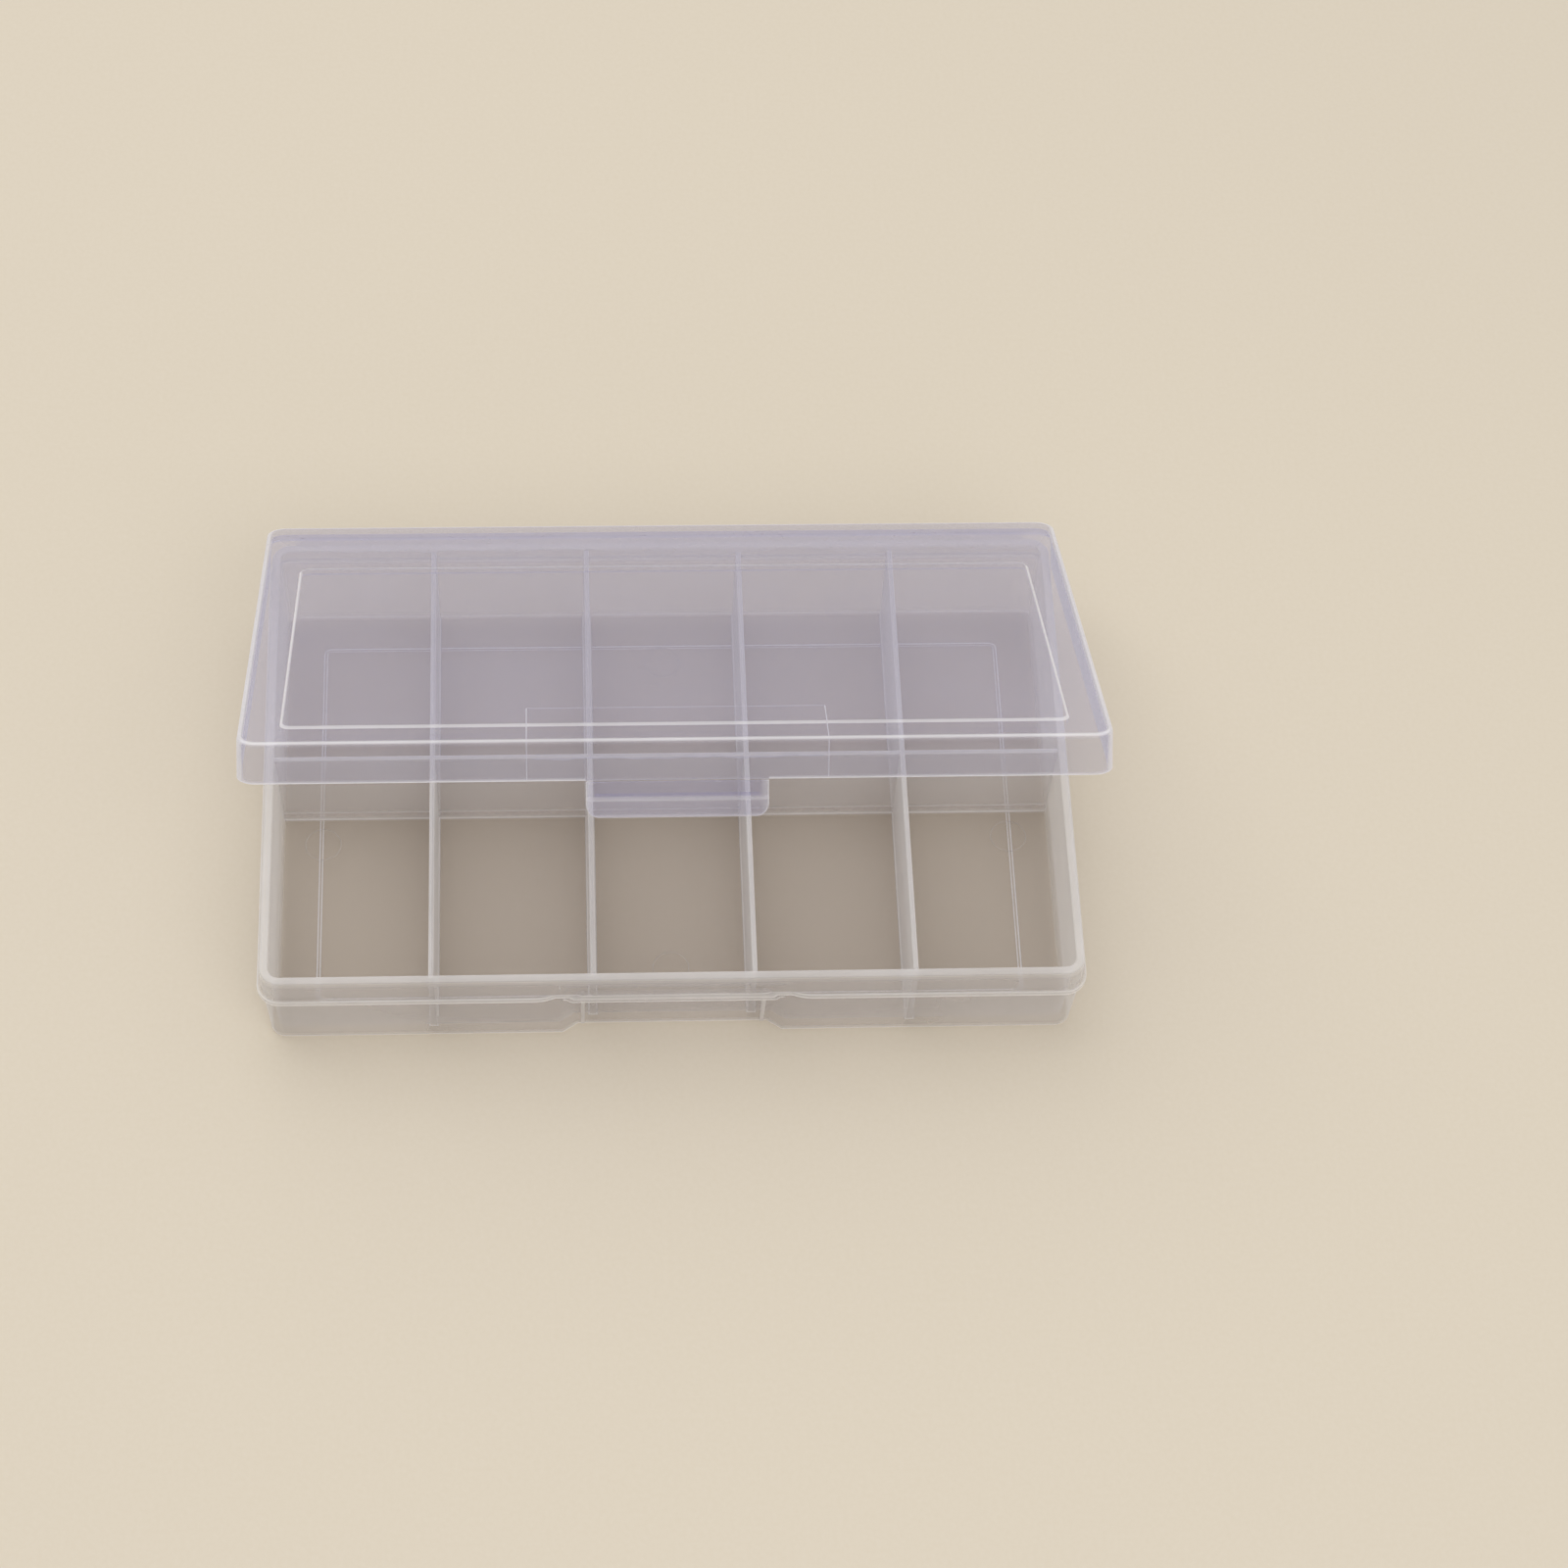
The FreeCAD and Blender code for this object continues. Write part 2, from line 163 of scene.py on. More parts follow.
# How much light a point scatters, from 0 for none to 1 for all of it. The high values, line and bright and
# those near them, make rounded edges and steps whiter: painted highlights for the light that comes out there.
clear, milky, line, bright = 0.03, 0.09, 0.34, 0.5
flange_out, rim_out = (90.0, 59.2, 5.0), (89.1, 58.3, 4.3)
tray_layers = [
    (tray_ring(base_low, 87.5, 55.8, 2.9, recess=0.0), clear),
    (tray_ring(0.42, 87.7, 56.0, 3.1, recess=0.0), line),
    (tray_ring(0.52, 87.88, 56.18, 3.3, recess=0.0), bright),
    (tray_ring(0.8, 88.0, 56.3, 3.4, recess=0.0), line),
    (tray_ring(1.1, *wall_out(1.1), recess=0.0), 0.18),
    (tray_ring(2.0, *wall_out(2.0), recess=0.0), 0.16),
    (tray_ring(2.5, *wall_out(2.5), recess=0.0), milky),
    (tray_ring(9.0, *wall_out(9.0), recess=0.0), milky),
    (tray_ring(17.0, *wall_out(17.0), recess=0.0), milky),
    (tray_ring(17.38, *wall_out(17.38), recess=0.0), milky),
    (tray_ring(bar_low, *wall_out(bar_low), nose=(-58.5, 23.1)), 0.2),
    (tray_ring(17.5, *wall_out(17.5), nose=(-58.68, 23.2)), bright),
    (tray_ring(17.7, *wall_out(17.7), nose=(-58.7, 23.2)), line),
    (tray_ring(18.1, *wall_out(18.1), nose=(-58.68, 23.2)), 0.16),
    (tray_ring(18.45, *wall_out(18.45), nose=(-58.65, 22.8)), milky),
    (tray_ring(flange_low, 89.6, 58.8, 4.6, flange=True, nose=(-58.64, 22.7)), 0.3),
    (tray_ring(18.6, 89.92, 59.12, 4.9, flange=True, nose=(-58.63, 22.6)), bright),
    (tray_ring(18.85, *flange_out, flange=True, nose=(-58.6, 22.2)), 0.3),
    (tray_ring(19.75, *flange_out, flange=True, nose=(-58.5, 21.2)), 0.2),
    (tray_ring(20.0, 89.92, 59.12, 4.9, flange=True, nose=(-58.47, 20.9)), bright),
    (tray_ring(flange_high, 89.65, 58.85, 4.7, flange=True, nose=(-58.46, 20.8)), 0.26),
    (tray_ring(flange_high, 89.2, 58.4, 4.4, nose=(-58.46, 20.8)), 0.12),
    (tray_ring(20.3, *rim_out, nose=(-58.43, 20.6)), 0.12),
    (tray_ring(21.2, *rim_out, nose=(-58.33, 19.5)), 0.13),
    (tray_ring(21.4, *rim_out), 0.12),
    (tray_ring(24.05, *rim_out), 0.12),
    (tray_ring(25.25, *rim_out, land=land_depth), 0.2),
    (tray_ring(25.85, *rim_out, land=land_depth), 0.2),
    (tray_ring(26.02, *rim_out, land=land_depth - 0.12), line),
    (tray_ring(26.05, 89.1, 58.3, 4.3), 0.24),
    (tray_ring(26.23, 88.98, 58.18, 4.2), line),
    (tray_ring(rim_high, 88.78, 57.98, 4.1), 0.4),
    (tray_ring(rim_high, 87.55, 56.75, 2.7), 0.4),
    (tray_ring(26.22, 87.3, 56.5, 2.5), line),
    (tray_ring(26.0, *wall_in(26.0)), 0.2),
    (tray_ring(25.2, *wall_in(25.2)), 0.12),
    (tray_ring(19.0, *wall_in(19.0)), milky),
    (tray_ring(bump_high, *wall_in(bump_high), recess=recess_wall), milky),
    (tray_ring(17.0, *wall_in(17.0), recess=recess_wall), milky),
    (tray_ring(8.0, *wall_in(8.0), recess=recess_wall), milky),
    (tray_ring(2.5, *wall_in(2.5), recess=recess_wall), milky),
    (tray_ring(2.08, 86.22, 54.52, 2.3, recess=recess_wall), 0.12),
    (tray_ring(floor_high, 85.8, 54.1, 2.0, recess=recess_wall), clear),
]


def tray_haze(x, y, z, value):
    """The two end walls are clearer than the front and back, and the corners between them milkier.
    The bright edges of the catch bar end where it ends."""
    if bar_low - 0.1 < z < flange_low - 0.03 and (y > 0.0 or abs(x) > bar_half):
        value = milky
    if value != milky or abs(x) < 84.0:
        return value
    return clear if abs(y) < 51.0 else 0.13


tray = stack_mesh("tray_shell", tray_layers, local=tray_haze)


def srgb(code):
    """Linear colour from a hex code."""
    parts = [int(code[i:i + 2], 16) / 255 for i in (1, 3, 5)]
    return [p / 12.92 if p <= 0.04045 else ((p + 0.055) / 1.055) ** 2.4 for p in parts] + [1.0]


def add_node(tree, kind, settings=None, **inputs):
    """Adds a node, sets its properties, and fills or links its inputs by name or number (i0, i1)."""
    node = tree.nodes.new(kind)
    for key, value in (settings or {}).items():
        setattr(node, key, value)
    for key, value in inputs.items():
        name = int(key[1:]) if key[0] == "i" and key[1:].isdigit() else key.replace("_", " ")
        if isinstance(value, bpy.types.NodeSocket):
            tree.links.new(value, node.inputs[name])
        else:
            node.inputs[name].default_value = value
    return node


def polypropylene(name, body, edge, tint, least_haze, roughness):
    """Natural polypropylene, injection moulded against a satin steel mould: nearly clear straight through,
    milky along a wall, and white where the mesh's haze is high, which paints in the light that comes out at
    its edges."""
    material = bpy.data.materials.new(name)
    material.use_nodes = True
    tree = material.node_tree
    shader = tree.nodes["Principled BSDF"]
    place = add_node(tree, "ShaderNodeTexCoord").outputs["Object"]
    # Flow clouds a few centimetres across, and the satin grain of the mould, drawn at 0.7 mm to show.
    cloud = add_node(tree, "ShaderNodeTexNoise", Vector=place, Scale=45.0, Detail=3.0).outputs["Fac"]
    grain = add_node(tree, "ShaderNodeTexNoise", Vector=place, Scale=1400.0, Detail=2.0).outputs["Fac"]
    haze = add_node(tree, "ShaderNodeAttribute", {"attribute_name": "haze"}).outputs["Fac"]
    # The haze turns the body colour towards the edge colour: on rounded edges this is a painted highlight, on
    # marks, seams and the pressed hinge it is the plastic's own whiter tone.
    white = add_node(tree, "ShaderNodeMapRange", {"interpolation_type": "SMOOTHSTEP"}, Value=haze,
                     From_Min=0.06, From_Max=0.3).outputs[0]
    tone = add_node(tree, "ShaderNodeMix", {"data_type": "RGBA"}, Factor=white, i6=srgb(body),
                    i7=srgb(edge))
    tree.links.new(tone.outputs[2], shader.inputs["Base Color"])
    rough = add_node(tree, "ShaderNodeMapRange", Value=grain, To_Min=roughness - 0.05,
                     To_Max=roughness + 0.07)
    tree.links.new(rough.outputs[0], shader.inputs["Roughness"])
    shader.inputs["IOR"].default_value = 1.49
    shader.inputs["Sheen Weight"].default_value = 0.3
    shader.inputs["Sheen Roughness"].default_value = 0.4
    bump = add_node(tree, "ShaderNodeBump", Strength=0.12, Distance=0.00004, Height=grain)
    tree.links.new(bump.outputs[0], shader.inputs["Normal"])
    mottle = add_node(tree, "ShaderNodeMapRange", Value=cloud, To_Min=0.8, To_Max=1.2).outputs[0]
    haze = add_node(tree, "ShaderNodeMath", {"operation": "MAXIMUM"}, i0=haze, i1=least_haze).outputs[0]
    haze = add_node(tree, "ShaderNodeMath", {"operation": "MULTIPLY"}, i0=haze, i1=mottle).outputs[0]
    left = add_node(tree, "ShaderNodeMath", {"operation": "SUBTRACT"}, i0=1.0, i1=haze).outputs[0]
    slant = add_node(tree, "ShaderNodeLayerWeight", Blend=0.5).outputs["Facing"]
    upright = add_node(tree, "ShaderNodeMath", {"operation": "SUBTRACT"}, i0=1.0, i1=slant).outputs[0]
    upright = add_node(tree, "ShaderNodeMath", {"operation": "MAXIMUM"}, i0=upright, i1=0.12).outputs[0]
    path = add_node(tree, "ShaderNodeMath", {"operation": "DIVIDE"}, i0=1.0, i1=upright).outputs[0]
    through = add_node(tree, "ShaderNodeMath", {"operation": "POWER"}, i0=left, i1=path).outputs[0]
    glow = add_node(tree, "ShaderNodeBsdfTranslucent", Color=tone.outputs[2]).outputs[0]
    share = add_node(tree, "ShaderNodeMapRange", Value=haze, From_Min=0.2, From_Max=0.8, To_Min=0.4,
                     To_Max=0.05).outputs[0]
    milk = add_node(tree, "ShaderNodeMixShader", i0=share, i1=shader.outputs[0], i2=glow).outputs[0]
    behind = add_node(tree, "ShaderNodeBsdfTransparent", Color=srgb(tint)).outputs[0]
    both = add_node(tree, "ShaderNodeMixShader", i0=through, i1=milk, i2=behind).outputs[0]
    tree.links.new(both, tree.nodes["Material Output"].inputs["Surface"])
    return material


tray_plastic = polypropylene("natural_polypropylene_tray", "#F1EFED", "#FAF8F6", "#F4F3F3", 0.025, 0.3)
tray.data.materials.append(tray_plastic)
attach(tray, "tray")
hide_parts("tray_floor", "front_wall_left", "front_wall_right", "catch_wall", "back_wall", "left_wall",
            "right_wall", "catch_bar", "hinge_land")

# Foot ring: a low rectangular rib under the floor, moulded with it, that keeps the floor off the table. Both
# its lower edges are rounded, and the light that shines through them is painted on them in near white.
foot_half, foot_shorter, foot_radius = 78.5, 31.0, 1.8
foot_top, glow = base_low + 0.06, 0.95
foot_profile = [(0.0, foot_top, 0.0), (0.0, 0.16, 0.0), (0.05, 0.1, glow), (0.3, 0.0, glow), (0.38, 0.0, 0.0),
                (0.62, 0.0, 0.0), (0.7, 0.0, glow), (0.95, 0.1, glow), (1.0, 0.16, 0.0), (1.0, foot_top, 0.0)]
foot_layers = [(plan_ring(z, foot_half - inset, foot_half - inset - foot_shorter, foot_radius - inset,
                          front=(), back=()), haze) for inset, z, haze in foot_profile]
foot = stack_mesh("foot_rib", foot_layers, loop=True)
foot_plastic = polypropylene("natural_polypropylene_foot", "#F2EFEC", "#FFFEFC", "#FEFEFE", 0.0, 0.3)
foot.data.materials.append(foot_plastic)
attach(foot, "tray")
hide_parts("foot_ring")

# Gussets: two thin three-cornered webs in the thumb recess that hold up the
# catch bar. They are moulded with it and run out at the foot of the wall.
gusset_x, gusset_half, gusset_top = 19.7, 0.4, bar_low + 0.05
gusset_corners = [(-53.95, 0.8, 0.12), (-55.6, gusset_top, 0.12),
                  (-gap_y, gusset_top, 0.2), (-54.24, 0.8, 0.2)]
gusset_shape = bmesh.new()
gusset_haze = gusset_shape.verts.layers.float.new("haze")
for middle in (-gusset_x, gusset_x):
    sides = []
    for x in (middle - gusset_half, middle + gusset_half):
        sides.append([gusset_shape.verts.new(Vector((x, y, z)) * mm) for y, z, haze in gusset_corners])
        for v, corner in zip(sides[-1], gusset_corners):
            v[gusset_haze] = corner[2]
    gusset_shape.faces.new(sides[0])
    gusset_shape.faces.new(sides[1])
    for i in range(4):
        j = (i + 1) % 4
        gusset_shape.faces.new((sides[0][i], sides[0][j], sides[1][j], sides[1][i]))
gussets = finish_mesh("catch_gussets", gusset_shape)
gussets.data.materials.append(tray_plastic)
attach(gussets, "tray")
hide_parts("catch_rib_left", "catch_rib_right")

# Dividers: fixed walls, 1.0 to 1.1 mm thick at the top and thicker at the root, with a small fillet on the
# floor. Four stand across the tray at one pitch, and one runs along it. Their top edges and the foot of their
# fillet are rounded, and the light they catch is painted on them in white.
wall_bite = 0.3
divider_high = rim_high - 0.5


def divider_section(top_half, root_half):
    """Half thickness and height up one side of a divider, with its haze."""
    return [(root_half + 0.4, 1.84, 0.2), (root_half + 0.12, 2.02, 0.5), (root_half, 2.4, 0.2),
            (root_half, 3.0, 0.13), ((top_half + root_half) / 2, 14.0, 0.13),
            (top_half, divider_high - 0.7, 0.14), (top_half, divider_high - 0.3, 0.3),
            (top_half - 0.08, divider_high - 0.08, bright), (top_half - 0.25, divider_high, 0.4)]


def plate_mesh(name, section, near_end, far_end, along_x=False):
    """Upright tapered plate whose ends follow the drafted walls."""
    shape = bmesh.new()
    haze = shape.verts.layers.float.new("haze")
    profile = [(t, z, h) for t, z, h in section] + [(-t, z, h) for t, z, h in reversed(section)]
    ends = []
    for end in (near_end, far_end):
        ends.append([])
        for t, z, h in profile:
            place = (end(z), t, z) if along_x else (t, end(z), z)
            ends[-1].append(shape.verts.new(Vector(place) * mm))
            ends[-1][-1][haze] = h
    for i in range(len(profile)):
        j = (i + 1) % len(profile)
        shape.faces.new((ends[0][i], ends[0][j], ends[1][j], ends[1][i]))
    for end in ends:
        for i in range(len(section) - 1):
            shape.faces.new((end[i], end[i + 1], end[-2 - i], end[-1 - i]))
    return finish_mesh(name, shape)


def right_end(z):
    return wall_in(z)[0] + wall_bite


def left_end(z):
    return -right_end(z)


def back_end(z):
    return wall_in(z)[1] + wall_bite


def front_end(z):
    return -back_end(z)


def bump_end(z):
    """Front end of the inner dividers, which stop at the inside of the thumb recess."""
    return front_end(z) + (recess_depth if z < bump_high else 0.0)


cross_section = divider_section(0.55, 0.75)
recess_step = [(0.6, bump_high - 0.05, 0.13), (0.6, bump_high + 0.05, 0.13)]
stepped_section = cross_section[:5] + recess_step + cross_section[5:]
outer_plate = plate_mesh("outer_plate", cross_section, front_end, back_end)
inner_plate = plate_mesh("inner_plate", stepped_section, bump_end, back_end)


def pair_tree(plate, material):
    """Geometry tree that sets one plate on each side of the middle, a given distance apart."""
    tree = bpy.data.node_groups.new("divider_pair", "GeometryNodeTree")
    tree.interface.new_socket("Geometry", in_out="OUTPUT", socket_type="NodeSocketGeometry")
    tree.interface.new_socket("Spread", in_out="INPUT", socket_type="NodeSocketFloat")
    given = tree.nodes.new("NodeGroupInput")
    made = tree.nodes.new("NodeGroupOutput")
    half = add_node(tree, "ShaderNodeMath", {"operation": "MULTIPLY"}, i0=given.outputs["Spread"], i1=-0.5)
    start = add_node(tree, "ShaderNodeCombineXYZ", X=half.outputs[0])
    step = add_node(tree, "ShaderNodeCombineXYZ", X=given.outputs["Spread"])
    row = add_node(tree, "GeometryNodeMeshLine", {"mode": "OFFSET"}, Count=2, Start_Location=start.outputs[0],
                   Offset=step.outputs[0])
    shape = add_node(tree, "GeometryNodeObjectInfo", Object=plate)
    spread = add_node(tree, "GeometryNodeInstanceOnPoints", Points=row.outputs[0],
                      Instance=shape.outputs["Geometry"])
    real = add_node(tree, "GeometryNodeRealizeInstances", Geometry=spread.outputs[0])
    paint = add_node(tree, "GeometryNodeSetMaterial", Geometry=real.outputs[0], Material=material)
    tree.links.new(paint.outputs[0], made.inputs[0])
    return tree


def run_tree(name, tree, mesh, **sizes):
    """Runs a geometry tree on a mesh with its named sizes in millimetres, and keeps a plain mesh."""
    host = bpy.data.objects.new(name, mesh)
    bpy.context.collection.objects.link(host)
    modifier = host.modifiers.new("tree", "NODES")
    modifier.node_group = tree
    for socket in tree.interface.items_tree:
        if socket.name in sizes:
            modifier[socket.identifier] = sizes[socket.name] * mm
    graph = bpy.context.evaluated_depsgraph_get()
    made = bpy.data.meshes.new_from_object(host.evaluated_get(graph))
    host.modifiers.remove(modifier)
    host.data = made
    return host


cross_pitch = 34.88
outer_pair = run_tree("cross_dividers_outer", pair_tree(outer_plate, tray_plastic),
                      bpy.data.meshes.new("outer_row"), Spread=3 * cross_pitch)
inner_pair = run_tree("cross_dividers_inner", pair_tree(inner_plate, tray_plastic),
                      bpy.data.meshes.new("inner_row"), Spread=cross_pitch)
for plate in (outer_plate, inner_plate):
    bpy.data.objects.remove(plate)
long_plate = plate_mesh("length_divider", divider_section(0.5, 0.7), left_end, right_end, along_x=True)
long_plate.data.materials.append(tray_plastic)
for piece, nodes in ((outer_pair, ("cross_divider_1", "cross_divider_4")),
                     (inner_pair, ("cross_divider_2", "cross_divider_3")),
                     (long_plate, tuple(f"length_divider_{i}" for i in range(1, 6)))):
    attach(piece, "tray")
    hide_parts(*nodes)

# Ejector marks: the round pins that push the tray out of its mould each leave a
# thin raised ring on the floor, about 8 mm across.


def ring_mark_tree(material):
    """Geometry tree that sets a fine ring of a given radius and thickness on every point of a mesh."""
    tree = bpy.data.node_groups.new("ring_marks", "GeometryNodeTree")
    tree.interface.new_socket("Geometry", in_out="OUTPUT", socket_type="NodeSocketGeometry")
    tree.interface.new_socket("Geometry", in_out="INPUT", socket_type="NodeSocketGeometry")
    tree.interface.new_socket("Radius", in_out="INPUT", socket_type="NodeSocketFloat")
    tree.interface.new_socket("Thickness", in_out="INPUT", socket_type="NodeSocketFloat")
    given = tree.nodes.new("NodeGroupInput")
    made = tree.nodes.new("NodeGroupOutput")
    round_line = add_node(tree, "GeometryNodeCurvePrimitiveCircle", Resolution=48,
                          Radius=given.outputs["Radius"])
    section = add_node(tree, "GeometryNodeCurvePrimitiveCircle", Resolution=6,
                       Radius=given.outputs["Thickness"])
    ring = add_node(tree, "GeometryNodeCurveToMesh", Curve=round_line.outputs[0],
                    Profile_Curve=section.outputs[0])
    marks = add_node(tree, "GeometryNodeInstanceOnPoints", Points=given.outputs["Geometry"],
                     Instance=ring.outputs[0])
    real = add_node(tree, "GeometryNodeRealizeInstances", Geometry=marks.outputs[0])
    hazy = add_node(tree, "GeometryNodeStoreNamedAttribute", {"data_type": "FLOAT", "domain": "POINT"},
                    Geometry=real.outputs[0], Name="haze", Value=0.2)
    paint = add_node(tree, "GeometryNodeSetMaterial", Geometry=hazy.outputs[0], Material=material)
    tree.links.new(paint.outputs[0], made.inputs[0])
    return tree


pin_places = [(-77.5, -7.5), (77.5, -7.5), (0, -41.0), (0, 41.5)]
pin_points = bpy.data.meshes.new("pin_points")
pin_points.from_pydata([(x * mm, y * mm, floor_high * mm) for x, y in pin_places], [], [])
pin_marks = run_tree("ejector_marks", ring_mark_tree(tray_plastic), pin_points, Radius=4.0, Thickness=0.07)
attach(pin_marks, "tray")

# Film hinge: the same plastic, pressed thin so that it bends for years. Pressing
# whitens it. It runs along the back between the land and the lid.
hinge = next(joint for joint in frame["joints"] if joint["name"] == "lid_hinge")
hinge_at = Vector(hinge["pos_m"])
film = frame["nodes"]["film_hinge"]
film_plastic = polypropylene("pressed_polypropylene_hinge", "#E4E2E5", "#F4F2F2", "#F7F5F7", 0.16, 0.35)
film.data.materials.clear()
film.data.materials.append(film_plastic)

# Lid: a shallow cap of the same natural polypropylene. Its skirt covers the rim
# on three sides, a panel in its top is raised by half a millimetre, and it stands
# open about the hinge.
open_turn = (Matrix.Translation(hinge_at)
             @ Matrix.Rotation(-math.radians(hinge["range_deg"][0]), 4, Vector(hinge["axis"]))
             @ Matrix.Translation(-hinge_at))
lid_front, lid_back = -59.55, 59.5
lid_half, lid_middle = (lid_back - lid_front) / 2, (lid_back + lid_front) / 2
lid_low, lid_high, plate_low = 20.35, 29.45, 28.25
skirt_stop, back_low = 53.4, hinge_at.z / mm + 0.15
panel_front, panel_back, panel_high = -52.25, 33.55, 29.95
panel_half_length, panel_thick = 81.45, 1.2
panel_half, panel_middle = (panel_back - panel_front) / 2, (panel_back + panel_front) / 2
side_stops = (0.0, skirt_stop - 0.15, skirt_stop - 0.01, skirt_stop + 0.01)
latch_half = 18.8
skirt_stops = (-30.0, -latch_half - 0.2, -latch_half, 0.0, latch_half, latch_half + 0.2, 30.0)


def lid_ring(z, half_x, half_y, radius, middle=lid_middle, lift=False):
    """One ring of the lid. With lift, its points behind the side skirts rise to the back wall's foot."""
    inside = middle + half_y - radius
    stops = [min(stop, inside - 0.02 * (len(side_stops) - i)) for i, stop in enumerate(side_stops)]
    ring = plan_ring(z, half_x, half_y, radius, middle, front=skirt_stops, back=(30.0, 0.0, -30.0),
                     side=stops)
    if lift:
        behind = ring[:, 1] > skirt_stop
        ring[behind, 2] = np.maximum(ring[behind, 2], back_low + (z - lid_low) * 0.3)
    return ring


def panel_ring(z, grow, radius):
    return lid_ring(z, panel_half_length + grow, panel_half + grow, radius, panel_middle)


# The high haze on the skirt's foot, the top edges and the panel's step paints their highlights.
lid_layers = [
    (lid_ring(lid_low, 89.6, lid_half - 0.75, 3.4, lift=True), line),
    (lid_ring(lid_low, 90.15, lid_half - 0.2, 3.95, lift=True), bright),
    (lid_ring(lid_low + 0.15, 90.35, lid_half, 4.1, lift=True), bright),
    (lid_ring(lid_low + 0.5, 90.33, lid_half - 0.02, 4.1, lift=True), 0.14),
    (lid_ring(27.2, 90.12, lid_half - 0.23, 4.1), 0.13),
    (lid_ring(28.6, 90.06, lid_half - 0.29, 4.1), 0.1),
    (lid_ring(29.0, 90.0, lid_half - 0.35, 4.05), 0.24),
    (lid_ring(29.25, 89.85, lid_half - 0.5, 3.9), bright),
    (lid_ring(29.4, 89.6, lid_half - 0.75, 3.65), bright),
    (lid_ring(29.45, 89.3, lid_half - 1.05, 3.4), 0.3),
    (lid_ring(29.45, 88.7, lid_half - 1.65, 2.9), clear),
    (panel_ring(lid_high, 0.5, 2.4), clear),
    (panel_ring(lid_high, 0.12, 2.1), milky),
    (panel_ring(29.5, -0.02, 2.0), 0.44),
    (panel_ring(29.88, -0.34, 1.9), 0.44),
    (panel_ring(panel_high, -0.45, 1.8), 0.3),
    (panel_ring(panel_high, -0.8, 1.6), clear),
    (panel_ring(panel_high - panel_thick, -0.7, 1.6), clear),
    (panel_ring(panel_high - panel_thick, -0.42, 1.8), milky),
    (panel_ring(28.65, -0.32, 1.9), 0.16),
    (panel_ring(28.3, -0.04, 2.0), 0.16),
    (panel_ring(plate_low, 0.1, 2.1), milky),
    (panel_ring(plate_low, 0.5, 2.4), clear),
    (lid_ring(plate_low, 88.4, lid_half - 1.95, 2.6), clear),
    (lid_ring(28.1, 89.0, lid_half - 1.35, 3.1), 0.14),
    (lid_ring(27.6, 89.18, lid_half - 1.17, 3.2), 0.1),
    (lid_ring(lid_low + 0.6, 89.43, lid_half - 0.92, 3.2, lift=True), 0.1),
    (lid_ring(lid_low + 0.12, 89.45, lid_half - 0.9, 3.2, lift=True), 0.3),
]


def lid_haze(x, y, z, value):
    """The side skirts and corners are made evenly milky and so whiter, which paints in the light they scatter
    along their length where they are seen edge-on. The skirt's foot is clearer at the latch, where it runs on
    into the flap."""
    if z < lid_low + 0.3:
        return min(value, 0.16) if y < 0.0 and abs(x) < latch_half + 0.1 else value
    side = min(1.0, max(0.0, (abs(x) - 88.8) / 0.5))
    return value + (0.32 - value) * side


panel_top_layer = 16
lid = stack_mesh("lid_shell", lid_layers, open_after=panel_top_layer, loop=True, turn=open_turn,
                 local=lid_haze)
# The lid's lavender body colour is partly the plastic's own tint and partly a painted reflection of blue sky.
lid_plastic = polypropylene("natural_polypropylene_lid", "#D8D7EF", "#F7F6FA", "#F5F5F8", 0.1, 0.28)
lid.data.materials.append(lid_plastic)
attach(lid, "lid")
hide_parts("lid_panel", "lid_border", "lid_front_skirt", "lid_left_skirt", "lid_right_skirt",
            "lid_back_wall")

# Witness lines: the lid's mould has a block let in behind the latch, and the
# joint round that block prints a hair-thin raised line on the lid, on three
# sides of the latch, with a rougher one inside the skirt.
line_high, line_wide = 0.03, 0.2
strip_section = ((-1, -line_high), (1, -line_high), (0.4, line_high), (-0.4, line_high))


def strip(shape, layer, path, across, width, value):
    """Adds a low closed strip along path, whose points carry the outward normal in Y and Z."""
    rows = []
    for (x, y, z), (ny, nz) in path:
        out = Vector((0, ny, nz))
        side = Vector(across) * width / 2
        row = [Vector((x, y, z)) + a * side + b * out for a, b in strip_section]
        rows.append([shape.verts.new(point * mm) for point in row])
        for v in rows[-1]:
            v[layer] = value
    for low, high in zip(rows, rows[1:]):
        for i in range(4):
            j = (i + 1) % 4
            shape.faces.new((low[i], low[j], high[j], high[i]))
    shape.faces.new(rows[0])
    shape.faces.new(rows[-1])


def skirt_face(z):
    """Y of the drafted front skirt's outer face at height z."""
    return lid_front + 0.3 * (z - lid_low) / 8.6


block_left, block_right, block_back = -30.9, 31.1, -44.2
seam_z, skirt_thick = 25.05, 0.9
witness_shape = bmesh.new()
witness_haze = witness_shape.verts.layers.float.new("haze")
for x in (block_left, block_right):
    down = [((x, block_back, panel_high), (0, 1)), ((x, panel_front + 0.5, panel_high), (-0.2, 0.98)),
            ((x, panel_front + 0.36, 29.9), (-0.6, 0.8)), ((x, panel_front + 0.02, 29.5), (-0.6, 0.8)),
            ((x, panel_front - 0.2, lid_high), (-0.1, 0.99)),
            ((x, lid_front + 1.1, lid_high), (-0.1, 0.99)), ((x, lid_front + 0.6, 29.28), (-0.5, 0.87)),
            ((x, lid_front + 0.37, 29.05), (-0.9, 0.43)), ((x, skirt_face(28.6), 28.6), (-1, 0)),
            ((x, skirt_face(20.6), 20.6), (-1, 0))]
    strip(witness_shape, witness_haze, down, (1, 0, 0), line_wide, 0.3)
across_lid = [((x, block_back, panel_high), (0, 1)) for x in (block_left, block_right)]
strip(witness_shape, witness_haze, across_lid, (0, 1, 0), line_wide, 0.22)
inside = []
